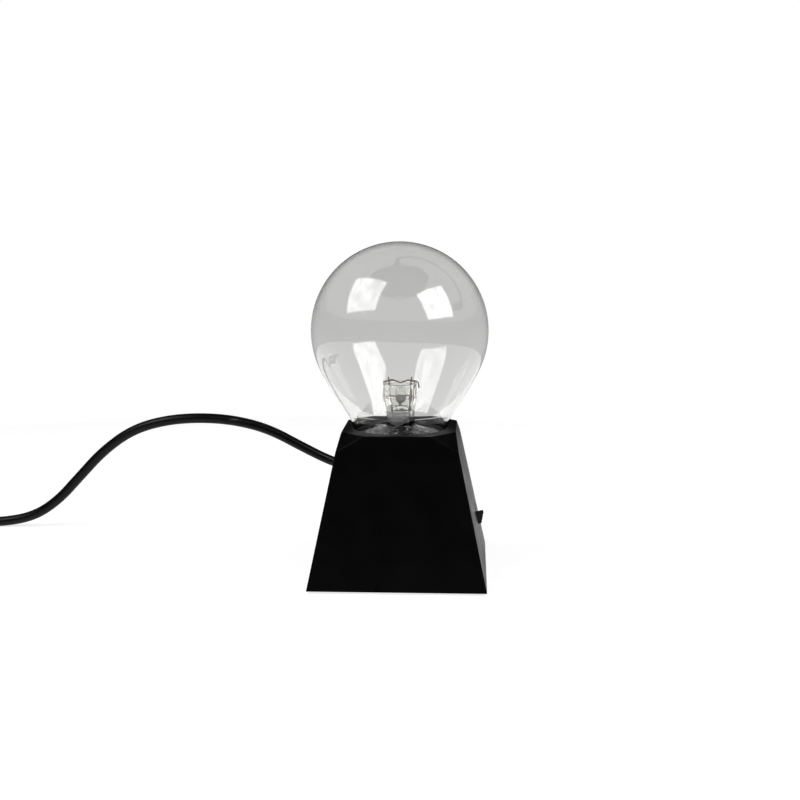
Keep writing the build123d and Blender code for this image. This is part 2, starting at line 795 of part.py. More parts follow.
terminal_length = 2.6
with BuildPart() as switch_terminals:
    with BuildSketch(switch_plane.offset(-body_low)):
        with GridLocations(1.0, 4.0, 1, 3):
            Rectangle(1.6, 0.5)
    extrude(amount=-terminal_length)
switch_terminals.part.label = "switch_terminals"
export_step(switch_terminals.part, "parts/switch_terminals.step")

switch_screw = pan_screw(0.8, 2.5, 1.5, 0.8, 0.9)
screw_seat = switch_plane.offset(-(switch_ear_depth + ear_thickness + 0.8))
with BuildPart() as switch_screws:
    for spread in (-switch_post_spread, switch_post_spread):
        with Locations(screw_seat.location * Location((0, spread, 0))):
            add(switch_screw)
switch_screws.part.label = "switch_screws"
export_step(switch_screws.part, "parts/switch_screws.step")

# ================================================================ power lead

# Tapered rubber strain relief, square to the slanted back wall, with a groove for the wall.
relief_inside = 3.2
with BuildPart() as cord_strain_relief:
    with BuildSketch(Plane(origin=back_plane.origin, x_dir=back_plane.x_dir, z_dir=back_plane.y_dir)):
        with BuildLine():
            Polyline(
                (0, inner_face + relief_inside),
                (4.6, inner_face + relief_inside),
                (4.6, inner_face + 0.05),
                (3.6, inner_face + 0.05),
                (3.6, -0.05),
                (4.8, -0.05),
                (4.8, -1.6),
                (4.2, -2.2),
                (3.1, -relief_length),
                (0, -relief_length),
                close=True,
            )
        make_face()
    revolve(axis=Axis(back_plane.origin, back_plane.z_dir))
    for ring in range(3):
        with BuildSketch(back_plane.offset(4.2 + 2.6 * ring)):
            Circle(6.0)
            Circle(3.3 - 0.25 * ring, mode=Mode.SUBTRACT)
        extrude(amount=0.9, mode=Mode.SUBTRACT)
cord_strain_relief.part.label = "cord_strain_relief"
export_step(cord_strain_relief.part, "parts/cord_strain_relief.step")

# The free stretch of the lead: out of the back, round to the left in a springy arch, then down
# to the surface and into the coil.
relief_tip = back_plane.origin + back_plane.z_dir * relief_length
after_tip = relief_tip + back_plane.z_dir * 10.3
cord_route = [
    tuple(relief_tip),
    tuple(after_tip),
    (-4.2, 68.0, 20.9),
    (-12.8, 76.2, 23.4),
    (-24.9, 80.5, 25.8),
    (-39.7, 80.2, 29.8),
    (-54.4, 75.0, 38.7),
    (-69.0, 66.5, 49.1),
    (-83.4, 57.4, 55.3),
    (-99.4, 51.8, 57.8),
    (-117.0, 49.6, 56.9),
    (-134.0, 50.4, 51.8),
    (-149.5, 52.8, 40.9),
    (-163.0, 55.6, 27.2),
    (-175.4, 58.0, 14.4),
    (-188.8, 59.5, 5.6),
    (-204.5, 59.4, 2.4),
    (-221.0, 58.7, 2.5),
    (coil_centre[0], coil_centre[1] + coil_outer_turn, cord_radius + coil_lift),
]
with BuildPart() as power_cord:
    add(route_tube(cord_route, cord_radius))
power_cord.part.label = "power_cord"
export_step(power_cord.part, "parts/power_cord.step")

# The put-away length: a neat coil, three turns below and two in their grooves above.
layer_rise = cord_diameter * sin(radians(60))
coil_inner = coil_outer_turn - 2 * cord_diameter - cord_radius
coil_outer = coil_outer_turn + cord_radius
coil_top = coil_lift + cord_diameter + layer_rise
with BuildPart() as power_cord_coil:
    with BuildSketch(Plane(origin=(coil_centre[0], coil_centre[1], 0), x_dir=(1, 0, 0), z_dir=(0, -1, 0))):
        with BuildLine():
            Polyline(
                (coil_inner, 0),
                (coil_outer, 0),
                (coil_outer, coil_lift + cord_radius * 1.4),
                (coil_outer - cord_radius, coil_top),
                (coil_inner + cord_radius, coil_top),
                (coil_inner, coil_lift + cord_radius * 1.4),
                close=True,
            )
        make_face()
    revolve(axis=Axis((coil_centre[0], coil_centre[1], 0), (0, 0, 1)))
power_cord_coil.part.label = "power_cord_coil"
export_step(power_cord_coil.part, "parts/power_cord_coil.step")

# The last stretch, from the top of the coil down to the plug beside it.
plug_x = -266.0
plug_z = 4.1
plug_start = 6.0
tail_route = [
    (coil_centre[0] - coil_outer_turn + cord_radius, coil_centre[1] - 3.0, coil_top - cord_radius),
    (plug_x + 0.1, 15.5, 5.6),
    (plug_x, plug_start, plug_z),
]
with BuildPart() as power_cord_tail:
    add(route_tube(tail_route, cord_radius))
power_cord_tail.part.label = "power_cord_tail"
export_step(power_cord_tail.part, "parts/power_cord_tail.step")

# A flat strap tied round the coil.
tie_width = 5.0
tie_thickness = coil_lift
tie_turn = 20.0
tie_middle = coil_outer_turn - cord_diameter
tie_span = coil_outer - coil_inner
tie_plane = Plane(
    origin=(
        coil_centre[0] - tie_middle * cos(radians(tie_turn)),
        coil_centre[1] + tie_middle * sin(radians(tie_turn)),
        (coil_top + tie_thickness) / 2,
    ),
    x_dir=(-cos(radians(tie_turn)), sin(radians(tie_turn)), 0),
    z_dir=(sin(radians(tie_turn)), cos(radians(tie_turn)), 0),
)
with BuildPart() as cord_tie:
    with BuildSketch(tie_plane.offset(-tie_width / 2)):
        RectangleRounded(tie_span + 2 * tie_thickness, coil_top + tie_thickness, 2.6)
        RectangleRounded(tie_span, coil_top - tie_thickness, 2.0, mode=Mode.SUBTRACT)
    extrude(amount=tie_width)
cord_tie.part.label = "cord_tie"
export_step(cord_tie.part, "parts/cord_tie.step")

# USB type A plug: moulded grip with a tapered neck, metal shell, tongue and four contacts.
neck_length = 8.0
grip_length = 23.0
grip_width = 15.6
grip_height = 8.2
shell_width = 12.0
shell_height = 4.5
shell_length = 12.0
shell_wall = 0.3
shell_root = 4.0
plug_plane = Plane(origin=(plug_x, plug_start, plug_z), x_dir=(1, 0, 0), z_dir=(0, -1, 0))
with BuildPart() as usb_plug_grip:
    with BuildSketch(plug_plane):
        Circle(cord_radius + 0.4)
    with BuildSketch(plug_plane.offset(neck_length)):
        Circle(cord_radius + 1.4)
    loft()
    with BuildSketch(plug_plane.offset(neck_length)):
        RectangleRounded(grip_width, grip_height, 2.4)
    extrude(amount=grip_length)
    chamfer(usb_plug_grip.faces().sort_by(Axis.Y)[0].edges(), 0.5)
    with BuildSketch(plug_plane.offset(neck_length + grip_length - shell_root)):
        Rectangle(shell_width, shell_height)
    extrude(amount=shell_root, mode=Mode.SUBTRACT)
usb_plug_grip.part.label = "usb_plug_grip"
export_step(usb_plug_grip.part, "parts/usb_plug_grip.step")

shell_plane = plug_plane.offset(neck_length + grip_length - shell_root)
shell_whole = shell_root + shell_length
with BuildPart() as usb_plug_shell:
    with BuildSketch(shell_plane):
        Rectangle(shell_width, shell_height)
        Rectangle(shell_width - 2 * shell_wall, shell_height - 2 * shell_wall, mode=Mode.SUBTRACT)
    extrude(amount=shell_whole)
    window_y = shell_plane.origin.Y - shell_root - 6.6
    with BuildSketch(Plane(origin=(plug_x, window_y, plug_z - shell_height / 2))):
        with GridLocations(5.2, 1.0, 2, 1):
            Rectangle(2.2, 2.2)
    extrude(amount=shell_height, mode=Mode.SUBTRACT)
usb_plug_shell.part.label = "usb_plug_shell"
export_step(usb_plug_shell.part, "parts/usb_plug_shell.step")

tongue_height = 1.8
tongue_low = -shell_height / 2 + shell_wall
with BuildPart() as usb_plug_tongue:
    with BuildSketch(shell_plane):
        Rectangle(shell_width - 2 * shell_wall, shell_height - 2 * shell_wall)
    extrude(amount=shell_root + 1.0)
    with BuildSketch(shell_plane):
        with Locations((0, tongue_low + tongue_height / 2)):
            Rectangle(shell_width - 2 * shell_wall, tongue_height)
    extrude(amount=shell_whole - 0.6)
usb_plug_tongue.part.label = "usb_plug_tongue"
export_step(usb_plug_tongue.part, "parts/usb_plug_tongue.step")

contact_height = 0.2
with BuildPart() as usb_contacts:
    with BuildSketch(shell_plane.offset(shell_root + 1.0)):
        for offset_x, width in ((-3.5, 1.0), (-1.0, 1.0), (1.0, 1.0), (3.5, 1.0)):
            with Locations((offset_x, tongue_low + tongue_height + contact_height / 2)):
                Rectangle(width, contact_height)
    extrude(amount=shell_length - 3.0)
usb_contacts.part.label = "usb_contacts"
export_step(usb_contacts.part, "parts/usb_contacts.step")

# Inner leads: the lead's two conductors and the wire back from the switch.
relief_back = back_plane.origin - back_plane.z_dir * (inner_face + relief_inside)
conductor_radius = 0.65
terminal_tip = switch_plane.offset(-(body_low + terminal_length))


def terminal_run(spread):
    """The run of a conductor that leaves one switch terminal straight."""
    return [tuple(terminal_tip.from_local_coords((0, spread, -step))) for step in (0.0, 2.4)]


def lead_start(side):
    """The first run of a conductor, straight out of the relief's inner end."""
    start = relief_back + Vector(side * 1.2, 0, 0)
    return [tuple(start), tuple(start - back_plane.z_dir * 3.0)]


positive_route = lead_start(1) + [
    (2.8, 23.6, 11.6),
    (6.0, 19.5, 12.2),
    (11.0, 16.6, 14.0),
    (14.8, 15.6, 14.6),
] + terminal_run(-4.0)[::-1]
with BuildPart() as positive_lead:
    add(route_tube(positive_route, conductor_radius))
positive_lead.part.label = "positive_lead"
export_step(positive_lead.part, "parts/positive_lead.step")

switched_route = terminal_run(0) + [
    (15.0, 12.6, 22.4),
    (16.4, 9.4, 30.0),
    (20.4, 7.6, 37.0),
    (23.2, 6.6, 44.0),
    (23.0, 6.0, 51.0),
    (20.4, 5.0, 55.2),
    (17.6, 3.6, 56.0),
    (15.5, 2.0, 54.4),
    (15.0, 1.5, 52.4),
    (15.0, 1.5, board_top),
]
with BuildPart() as switched_lead:
    add(route_tube(switched_route, conductor_radius))
switched_lead.part.label = "switched_lead"
export_step(switched_lead.part, "parts/switched_lead.step")

negative_route = lead_start(-1) + [
    (-2.6, 23.4, 12.4),
    (-5.0, 18.6, 15.0),
    (-7.0, 14.0, 21.0),
    (-8.0, 11.0, 28.0),
    (-8.6, 9.4, 36.0),
    (-8.8, 9.0, board_bottom),
]
with BuildPart() as negative_lead:
    add(route_tube(negative_route, conductor_radius))
negative_lead.part.label = "negative_lead"
export_step(negative_lead.part, "parts/negative_lead.step")

# ================================================================ bend report


def print_bends(name, points, tube, radius):
    """Print a route's bend radii, and its tube's volume against its section times its length."""
    radii = bend_radii(points)
    with BuildLine() as path:
        FilletPolyline(*points, radius=radii)
    length = sum(edge.length for edge in path.line.edges())
    ideal = pi * radius**2 * length
    bends = " ".join(f"{bend:.1f}" for bend in radii)
    print(f"{name}: length {length:.1f}, bend radii {bends}, volume ratio {tube.volume / ideal:.4f}")


print_bends("power_cord", cord_route, power_cord.part, cord_radius)
print_bends("power_cord_tail", tail_route, power_cord_tail.part, cord_radius)
print(f"coil: outside {2 * coil_outer:.1f} across, {coil_top:.1f} high")
print(f"switch slides along ({-sin(wall_tilt):.4f}, 0, {cos(wall_tilt):.4f}) by {knob_travel:.1f}")
print(f"wall tilt {degrees(wall_tilt):.2f} degrees")
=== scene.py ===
import json
from math import cos, pi, radians, sin

import bpy
from mathutils import Matrix, Vector


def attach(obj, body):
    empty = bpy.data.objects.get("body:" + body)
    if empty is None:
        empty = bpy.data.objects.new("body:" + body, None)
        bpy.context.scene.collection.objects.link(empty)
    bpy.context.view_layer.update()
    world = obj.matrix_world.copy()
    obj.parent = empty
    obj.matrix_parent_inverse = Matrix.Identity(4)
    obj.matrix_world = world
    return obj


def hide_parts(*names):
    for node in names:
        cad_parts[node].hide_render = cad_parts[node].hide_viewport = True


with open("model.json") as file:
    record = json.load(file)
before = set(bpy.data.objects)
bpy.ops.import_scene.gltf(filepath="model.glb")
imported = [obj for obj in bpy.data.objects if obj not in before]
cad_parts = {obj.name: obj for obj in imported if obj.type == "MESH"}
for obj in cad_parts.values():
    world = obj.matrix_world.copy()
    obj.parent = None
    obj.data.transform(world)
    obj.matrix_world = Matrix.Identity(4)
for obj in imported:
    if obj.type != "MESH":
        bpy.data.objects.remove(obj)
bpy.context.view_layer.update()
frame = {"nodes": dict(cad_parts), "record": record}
nodes = frame["nodes"]
scene = bpy.context.scene
scene.view_settings.view_transform = "Standard"

# The frame is in metres: the globe's axis is Z, the front is -Y, the switch is on the +X wall.

# ---------------------------------------------------------------- camera
LOOK_AT = Vector((0.0, 0.0, 0.071))
CAMERA_DISTANCE = 0.500
CAMERA_AZIMUTH = radians(3.55)
CAMERA_ELEVATION = radians(9.97)
CAMERA_ROLL = radians(-0.41)
CAMERA_LENS = 51.86
CAMERA_SHIFT = (-0.0004, 0.0124)


def make_camera():
    """The camera a little right of the front and above, looking at the middle of the lamp."""
    back = Vector((
        sin(CAMERA_AZIMUTH) * cos(CAMERA_ELEVATION),
        -cos(CAMERA_AZIMUTH) * cos(CAMERA_ELEVATION),
        sin(CAMERA_ELEVATION),
    ))
    right = Vector((cos(CAMERA_AZIMUTH), sin(CAMERA_AZIMUTH), 0.0))
    up = back.cross(right)
    rolled_right = right * cos(CAMERA_ROLL) + up * sin(CAMERA_ROLL)
    rolled_up = up * cos(CAMERA_ROLL) - right * sin(CAMERA_ROLL)
    data = bpy.data.cameras.new("camera")
    data.lens = CAMERA_LENS
    data.shift_x, data.shift_y = CAMERA_SHIFT
    data.clip_start = 0.01
    camera = bpy.data.objects.new("camera", data)
    camera.matrix_world = placement(LOOK_AT + back * CAMERA_DISTANCE, rolled_right, rolled_up, back)
    scene.collection.objects.link(camera)
    scene.camera = camera


def placement(origin, x_axis, y_axis, z_axis):
    """The matrix of an object at origin whose own axes point along the three given ones."""
    turn = Matrix((x_axis, y_axis, z_axis)).transposed()
    return Matrix.Translation(origin) @ turn.to_4x4()


make_camera()

# ---------------------------------------------------------------- the power lead
CORD_DIAMETER = 0.0048
CORD_RADIUS = CORD_DIAMETER / 2

# Out of the strain relief, round to the left in a springy arch and down to the surface.
CORD_ROUTE = [
    (0.0, 0.0456, 0.0163),
    (0.0, 0.0576, 0.0188),
    (-0.0042, 0.0680, 0.0209),
    (-0.0128, 0.0762, 0.0234),
    (-0.0249, 0.0805, 0.0258),
    (-0.0397, 0.0802, 0.0298),
    (-0.0544, 0.0750, 0.0387),
    (-0.0690, 0.0665, 0.0491),
    (-0.0834, 0.0574, 0.0553),
    (-0.0994, 0.0518, 0.0578),
    (-0.1170, 0.0496, 0.0569),
    (-0.1340, 0.0504, 0.0518),
    (-0.1495, 0.0528, 0.0409),
    (-0.1630, 0.0556, 0.0272),
    (-0.1754, 0.0580, 0.0144),
    (-0.1888, 0.0595, 0.0056),
    (-0.2045, 0.0594, 0.0024),
    (-0.2210, 0.0587, 0.0025),
]

# The coil: three turns below, wound inwards, and the rest in their grooves, wound outwards.
COIL_CENTRE = Vector((-0.238, 0.028))
COIL_LIFT = 0.0007
COIL_RINGS = [0.0298, 0.0250, 0.0202, 0.0226, 0.0274]
COIL_START = 90.0
COIL_END = 1620.0
COIL_STEP = 20.0
COIL_SHIFT = 50.0
LAYER_RISE = CORD_DIAMETER * sin(radians(60))
CLIMBING_RING = 2
CROSSING_HUMP = 0.0007
CROSSING_ANGLE = 25.0
CROSSING_SPREAD = 45.0
CURVE_STEPS = 8
ROUND_STEPS = 5

# From the coil's top, over its outer turn, down to the plug beside it.
CORD_TAIL = [
    (-0.2657, 0.0215, 0.0080),
    (-0.2660, 0.0155, 0.0079),
    (-0.2660, 0.0105, 0.0056),
    (-0.2660, 0.0075, 0.0043),
    (-0.2660, 0.0050, 0.0041),
]


def ease(value):
    """A smooth step from 0 to 1."""
    value = min(1.0, max(0.0, value))
    return value * value * (3.0 - 2.0 * value)


def coil_points():
    """Control points of the coil's turns, each turn moving over to the next ring at its end."""
    # A quadratic curve cuts its control polygon's corners; this puts the points out to make up.
    corner_cut = 0.75 + 0.25 * cos(radians(COIL_STEP))
    points = []
    angle = COIL_START
    while angle < COIL_END + 0.1:
        turn = (angle - COIL_START) / 360.0
        ring = min(int(turn), len(COIL_RINGS) - 1)
        following = min(ring + 1, len(COIL_RINGS) - 1)
        left = (ring + 1) * 360.0 + COIL_START - angle
        early = COIL_SHIFT if ring == CLIMBING_RING else 0.0
        moved = ease((COIL_SHIFT + early - left) / COIL_SHIFT)
        radius = COIL_RINGS[ring] + (COIL_RINGS[following] - COIL_RINGS[ring]) * moved
        height = CORD_RADIUS + COIL_LIFT
        if ring > CLIMBING_RING:
            height += LAYER_RISE
        if ring == CLIMBING_RING:
            nearness = 1.0 - abs(left - CROSSING_ANGLE) / CROSSING_SPREAD
            height += LAYER_RISE * moved + CROSSING_HUMP * ease(nearness)
        points.append((
            COIL_CENTRE.x + radius / corner_cut * cos(radians(angle)),
            COIL_CENTRE.y + radius / corner_cut * sin(radians(angle)),
            height,
        ))
        angle += COIL_STEP
    return points


def round_curve(name, points, radius):
    """A smooth round cord: a quadratic NURBS spline with these control points."""
    curve = bpy.data.curves.new(name, "CURVE")
    curve.dimensions = "3D"
    spline = curve.splines.new("NURBS")
    spline.points.add(len(points) - 1)
    for point, place in zip(spline.points, points):
        point.co = (*place, 1.0)
        point.radius = radius
    spline.order_u = 3
    spline.use_endpoint_u = True
    spline.resolution_u = CURVE_STEPS
    curve.bevel_depth = 1.0
    curve.bevel_resolution = ROUND_STEPS
    curve.use_fill_caps = True
    piece = bpy.data.objects.new(name, curve)
    scene.collection.objects.link(piece)
    return piece


power_lead = round_curve("power_lead", CORD_ROUTE + coil_points() + CORD_TAIL, CORD_RADIUS)
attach(power_lead, "base")
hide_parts("power_cord", "power_cord_coil", "power_cord_tail")

# ---------------------------------------------------------------- materials


class Surface:
    """A material under construction: its principled shader, and short ways to add detail."""

    def __init__(self, name, colour, roughness, **sockets):
        self.material = bpy.data.materials.new(name)
        self.material.use_nodes = True
        self.tree = self.material.node_tree
        self.shader = self.tree.nodes["Principled BSDF"]
        self.shader.inputs["Base Color"].default_value = (*colour, 1.0)
        self.shader.inputs["Roughness"].default_value = roughness
        for socket, value in sockets.items():
            self.shader.inputs[socket.replace("_", " ")].default_value = value
        self.place = self.tree.nodes.new("ShaderNodeTexCoord").outputs["Object"]
        self.bump_out = None

    def link(self, start, end):
        self.tree.links.new(start, end)

    def noise(self, size, detail=3.0, stretch=(1.0, 1.0, 1.0)):
        """Noise whose blobs are about size metres across, longer where stretch is below 1."""
        mapping = self.tree.nodes.new("ShaderNodeMapping")
        mapping.inputs["Scale"].default_value = stretch
        self.link(self.place, mapping.inputs["Vector"])
        texture = self.tree.nodes.new("ShaderNodeTexNoise")
        texture.inputs["Scale"].default_value = 1.0 / size
        texture.inputs["Detail"].default_value = detail
        self.link(mapping.outputs["Vector"], texture.inputs["Vector"])
        return texture.outputs["Fac"]

    def bands(self, size, axis="Z", profile="SIN", distortion=0.0):
        """Even bands, size metres from one to the next, along one axis."""
        texture = self.tree.nodes.new("ShaderNodeTexWave")
        texture.wave_type = "BANDS"
        texture.bands_direction = axis
        texture.wave_profile = profile
        texture.inputs["Scale"].default_value = 2 * pi / 20.0 / size
        texture.inputs["Distortion"].default_value = distortion
        self.link(self.place, texture.inputs["Vector"])
        return texture.outputs["Fac"]

    def between(self, value, low, high, start=0.3, end=0.7):
        """Map value from start..end to low..high."""
        node = self.tree.nodes.new("ShaderNodeMapRange")
        node.inputs["From Min"].default_value = start
        node.inputs["From Max"].default_value = end
        node.inputs["To Min"].default_value = low
        node.inputs["To Max"].default_value = high
        self.link(value, node.inputs["Value"])
        return node.outputs["Result"]

    def colours(self, value, stops, sharp=False):
        """Colour by value along a ramp of (position, colour) stops."""
        node = self.tree.nodes.new("ShaderNodeValToRGB")
        ramp = node.color_ramp
        ramp.interpolation = "CONSTANT" if sharp else "LINEAR"
        while len(ramp.elements) < len(stops):
            ramp.elements.new(0.5)
        for element, (position, colour) in zip(ramp.elements, stops):
            element.position = position
            element.color = (*colour, 1.0)
        self.link(value, node.inputs["Fac"])
        self.link(node.outputs["Color"], self.shader.inputs["Base Color"])

    def bump(self, value, depth, strength=1.0):
        """Add relief of about depth metres."""
        node = self.tree.nodes.new("ShaderNodeBump")
        node.inputs["Strength"].default_value = strength
        node.inputs["Distance"].default_value = depth
        self.link(value, node.inputs["Height"])
        if self.bump_out:
            self.link(self.bump_out, node.inputs["Normal"])
        self.bump_out = node.outputs["Normal"]
        self.link(self.bump_out, self.shader.inputs["Normal"])

    def rough(self, value, low, high):
        self.link(self.between(value, low, high), self.shader.inputs["Roughness"])


def shade_of(colour, factor):
    return tuple(min(1.0, channel * factor) for channel in colour)


def moulded_plastic(name, colour, roughness, grain=0.00035, grain_depth=0.000012, **sockets):
    """Injection-moulded plastic: fine spark grain, slow gloss changes, faint handling marks."""
    surface = Surface(name, colour, roughness, **sockets)
    tone = surface.noise(0.018, 4.0)
    surface.colours(tone, [(0.3, shade_of(colour, 0.8)), (0.7, shade_of(colour, 1.25))])
    surface.rough(surface.noise(0.012, 5.0), roughness - 0.05, roughness + 0.07)
    surface.bump(surface.noise(grain, 2.0), grain_depth, 0.6)
    return surface.material


# Painted shade at the glass's rim: its darker, greener colour and where along the facing angle it starts and
# ends.
PAINTED_RIM_SHADE = (0.76, 0.77, 0.73)
RIM_START = 0.76
RIM_END = 0.97
GLASS_IOR = 1.5


def clear_glass(name, tint, wave_size, wave_depth):
    """Blown glass: clear and smooth, with a slow waviness left by the blowing, and a darker, greener rim
    painted in as shade by the facing angle.
    """
    surface = Surface(name, tint, 0.0, Transmission_Weight=1.0, IOR=GLASS_IOR)
    # Painted shade: the colour turns darker and greener towards the rim, by facing angle, to draw the globe's
    # dark outline.
    facing = surface.tree.nodes.new("ShaderNodeLayerWeight").outputs["Facing"]
    painted_rim_colour = (tint[0] * PAINTED_RIM_SHADE[0], tint[1] * PAINTED_RIM_SHADE[1], tint[2] * PAINTED_RIM_SHADE[2])
    surface.colours(facing, [(0.0, tint), (RIM_START, tint), (RIM_END, painted_rim_colour)])
    surface.bump(surface.noise(wave_size, 1.0), wave_depth, 0.25)
    surface.rough(surface.noise(0.02, 4.0), 0.0, 0.02)
    return surface.material


# Painted shade on the stem's foot: the heights where it fades in, and the lighter streaks through it.
PAINTED_SHADE_LOW = 0.0680
PAINTED_SHADE_HIGH = 0.0715
STREAK_SIZE = 0.0017
STREAK_STRETCH = (1.0, 1.0, 0.12)
STREAK_LIGHTEST = 0.75
STREAK_EDGES = (0.45, 0.60)


def glass_with_painted_foot_shade(name, tint, painted_shade):
    """Stem glass, worked in the flame: clear above, darkened towards its foot by painted shade broken by
    lighter vertical streaks.
    """
    surface = Surface(name, tint, 0.0, Transmission_Weight=1.0, IOR=GLASS_IOR)
    # Painted shade: below a set height the colour darkens towards the foot, with lighter vertical streaks
    # through the darkening.
    parts = surface.tree.nodes.new("ShaderNodeSeparateXYZ")
    surface.link(surface.place, parts.inputs["Vector"])
    clear = surface.between(parts.outputs["Z"], 0.0, 1.0, PAINTED_SHADE_LOW, PAINTED_SHADE_HIGH)
    streak_pattern = surface.noise(STREAK_SIZE, 2.0, STREAK_STRETCH)
    streaks = surface.between(streak_pattern, 0.0, STREAK_LIGHTEST, *STREAK_EDGES)
    total = surface.tree.nodes.new("ShaderNodeMath")
    total.operation = "ADD"
    total.use_clamp = True
    surface.link(clear, total.inputs[0])
    surface.link(streaks, total.inputs[1])
    surface.colours(total.outputs["Value"], [(0.0, painted_shade), (1.0, tint)])
    surface.bump(surface.noise(0.004, 2.0), 0.0006, 0.25)
    surface.bump(surface.noise(0.0025, 1.0, (1.0, 1.0, 0.1)), 0.0008, 0.5)
    return surface.material


def soft_rubber(name, colour, roughness):
    """Dull rubber with a fine bloom."""
    surface = Surface(name, colour, roughness, Specular_IOR_Level=0.35)
    surface.colours(surface.noise(0.004, 5.0), [(0.3, shade_of(colour, 0.75)), (0.7, shade_of(colour, 1.5))])
    surface.bump(surface.noise(0.0005, 3.0), 0.00003, 0.7)
    return surface.material


def worked_metal(name, colour, roughness, streak=(1.0, 1.0, 0.08), **sockets):
    """Metal with faint drawing or brushing streaks and a dull tarnish."""
    surface = Surface(name, colour, roughness, Metallic=1.0, **sockets)
    surface.colours(surface.noise(0.003, 4.0), [(0.3, shade_of(colour, 0.7)), (0.7, shade_of(colour, 1.15))])
    surface.rough(surface.noise(0.0006, 2.0, streak), roughness - 0.08, roughness + 0.1)
    surface.bump(surface.noise(0.0003, 2.0, streak), 0.000004, 0.5)
    return surface.material


def cable_jacket(name, colour, roughness):
    """Extruded PVC: glossy, with long shallow unevenness and a little dust."""
    surface = Surface(name, colour, roughness, Specular_IOR_Level=0.16)
    surface.colours(surface.noise(0.006, 4.0), [(0.35, shade_of(colour, 0.8)), (0.75, shade_of(colour, 1.8))])
    surface.rough(surface.noise(0.004, 3.0), roughness - 0.06, roughness + 0.08)
    surface.bump(surface.noise(0.003, 2.0), 0.00006, 0.4)
    return surface.material


def wound(name, colour, pitch, depth, roughness):
    """Wire or tape wound in level turns round an upright bobbin, with painted shade in the grooves between
    turns and a painted highlight on their crests.
    """
    surface = Surface(name, colour, roughness)
    turns = surface.bands(pitch, "Z", "SIN", 0.3)
    # Painted shade darkens the grooves between turns and a painted highlight lightens the crests.
    surface.colours(turns, [(0.05, shade_of(colour, 0.45)), (0.5, colour), (0.95, shade_of(colour, 1.2))])
    surface.bump(turns, depth, 0.8)
    return surface.material


def laminate(name, colour):
    """Paper laminate board with fibres."""
    surface = Surface(name, colour, 0.45)
    fibres = surface.noise(0.0012, 5.0, (0.2, 1.0, 1.0))
    surface.colours(fibres, [(0.3, shade_of(colour, 0.7)), (0.7, shade_of(colour, 1.3))])
    surface.bump(fibres, 0.00002, 0.6)
    return surface.material


def banded(name, stops, size, roughness, axis="X"):
    """Lacquered body with colour bands round it."""
    surface = Surface(name, stops[0][1], roughness)
    surface.colours(surface.bands(size, axis, "SAW"), stops, sharp=True)
    surface.bump(surface.noise(0.0008, 3.0), 0.00002, 0.4)
    return surface.material


BLACK = (0.0007, 0.0007, 0.00075)
RESISTOR_TAN = (0.55, 0.42, 0.26)
BAND_BROWN = (0.30, 0.05, 0.02)
BAND_VIOLET = (0.10, 0.03, 0.25)
BAND_ORANGE = (0.65, 0.30, 0.03)
SLEEVE_NAVY = (0.02, 0.02, 0.045)
SLEEVE_STRIPE = (0.62, 0.62, 0.66)
RESISTOR_STOPS = [
    (0.0, RESISTOR_TAN),
    (0.22, BAND_BROWN),
    (0.32, RESISTOR_TAN),
    (0.45, BAND_VIOLET),
    (0.55, RESISTOR_TAN),
    (0.7, BAND_ORANGE),
    (0.8, RESISTOR_TAN),
]
CAN_STOPS = [
    (0.0, SLEEVE_NAVY),
    (0.62, SLEEVE_STRIPE),
    (0.82, SLEEVE_NAVY),
]

